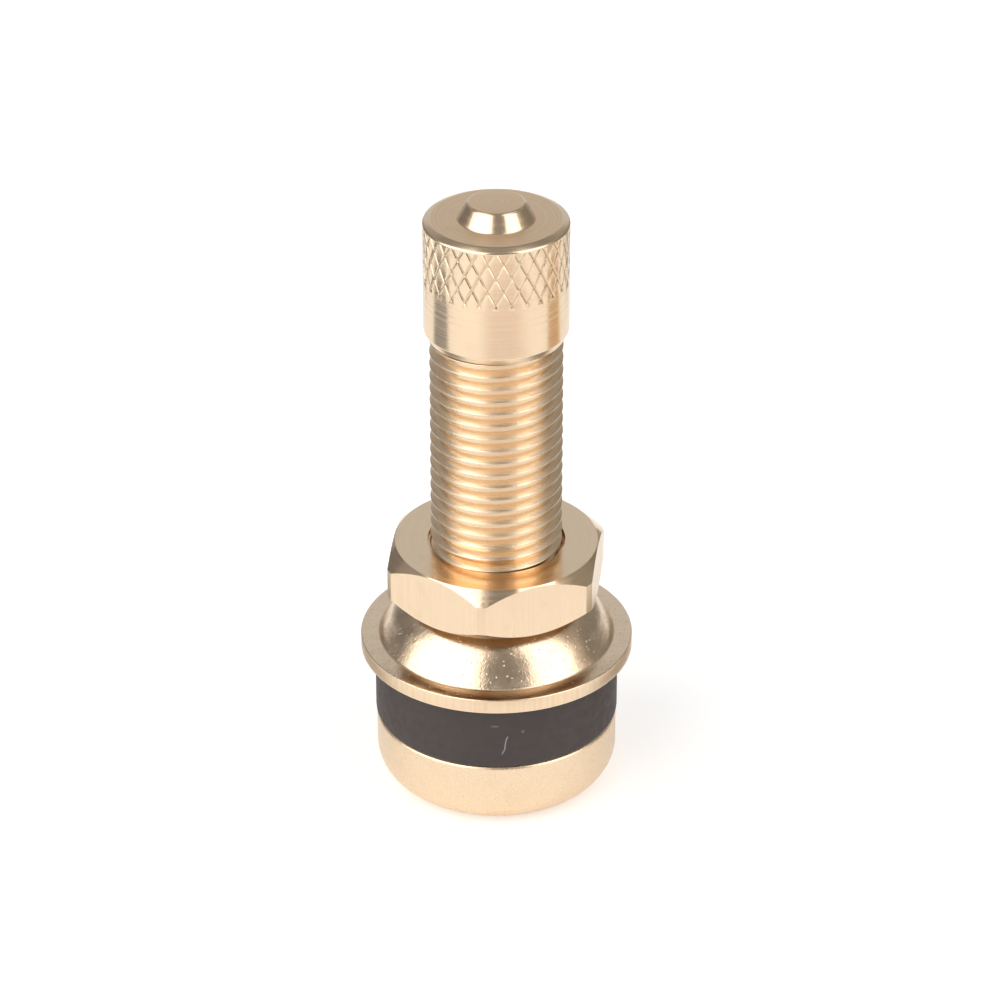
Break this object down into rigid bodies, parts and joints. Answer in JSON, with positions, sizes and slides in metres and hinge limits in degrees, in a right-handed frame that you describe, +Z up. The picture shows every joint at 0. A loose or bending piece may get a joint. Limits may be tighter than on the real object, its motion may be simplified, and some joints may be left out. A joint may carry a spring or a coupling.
{
  "type": "tyre valve",
  "caption": "Clamp-in tubeless tyre valve: threaded brass stem, rubber grommet, domed washer, hex nut, sprung screw-in core and knurled dust cap.",
  "frame": {"origin": "centre of the base's underside", "axes": "+Z up the stem's axis from the base to the cap, X and Y across it"},
  "size_m": [0.016, 0.016, 0.0377],
  "materials": {
    "brass": "turned, pale, satin",
    "plated_brass": "pressed, bright, finely pitted",
    "core_brass": "turned",
    "rubber": "moulded, matte",
    "seal": "smooth",
    "spring_steel": "drawn wire"
  },
  "bodies": {
    "stem": {"valve_stem": "brass", "rim_grommet": "rubber"},
    "washer": {"domed_washer": "plated_brass"},
    "nut": {"hex_nut": "brass"},
    "cap_disc": {"cap_seal": "rubber"},
    "cap": {"dust_cap": "brass"},
    "core": {"core_barrel": "core_brass", "barrel_seal": "seal", "core_spring": "spring_steel"},
    "plug": {"core_plug": "core_brass"},
    "pin": {"core_pin": "core_brass", "pin_cup": "core_brass", "cup_seal": "rubber"}
  },
  "joints": [
    {"name": "washer_lift", "type": "slide", "parent": "stem", "child": "washer", "axis": [0, 0, 1], "range_m": [0, 0.0127]},
    {"name": "nut_turn", "type": "hinge", "parent": "washer", "child": "nut", "pos_m": [0, 0, 0.0125], "axis": [0, 0, 1], "range_deg": [0, 5760]},
    {"name": "cap_lift", "type": "slide", "parent": "stem", "child": "cap_disc", "axis": [0, 0, 1], "range_m": [0, 0.00635]},
    {"name": "cap_turn", "type": "hinge", "parent": "cap_disc", "child": "cap", "pos_m": [0, 0, 0.0357], "axis": [0, 0, 1], "range_deg": [0, 2880]},
    {"name": "core_lift", "type": "slide", "parent": "stem", "child": "core", "axis": [0, 0, 1], "range_m": [0, 0.00070556]},
    {"name": "core_turn", "type": "hinge", "parent": "core", "child": "plug", "pos_m": [0, 0, 0.0275], "axis": [0, 0, 1], "range_deg": [0, 360]},
    {"name": "pin_press", "type": "slide", "parent": "core", "child": "pin", "axis": [0, 0, -1], "range_m": [0, 0.0012], "stiffness_N_per_m": 1200, "deforming": ["core_spring"]}
  ],
  "couplings": [
    {"joint": "nut_turn", "follows": "washer_lift", "rad_per_m": 7915.8},
    {"joint": "cap_turn", "follows": "cap_lift", "rad_per_m": 7915.8},
    {"joint": "core_turn", "follows": "core_lift", "rad_per_m": 8905.2}
  ]
}
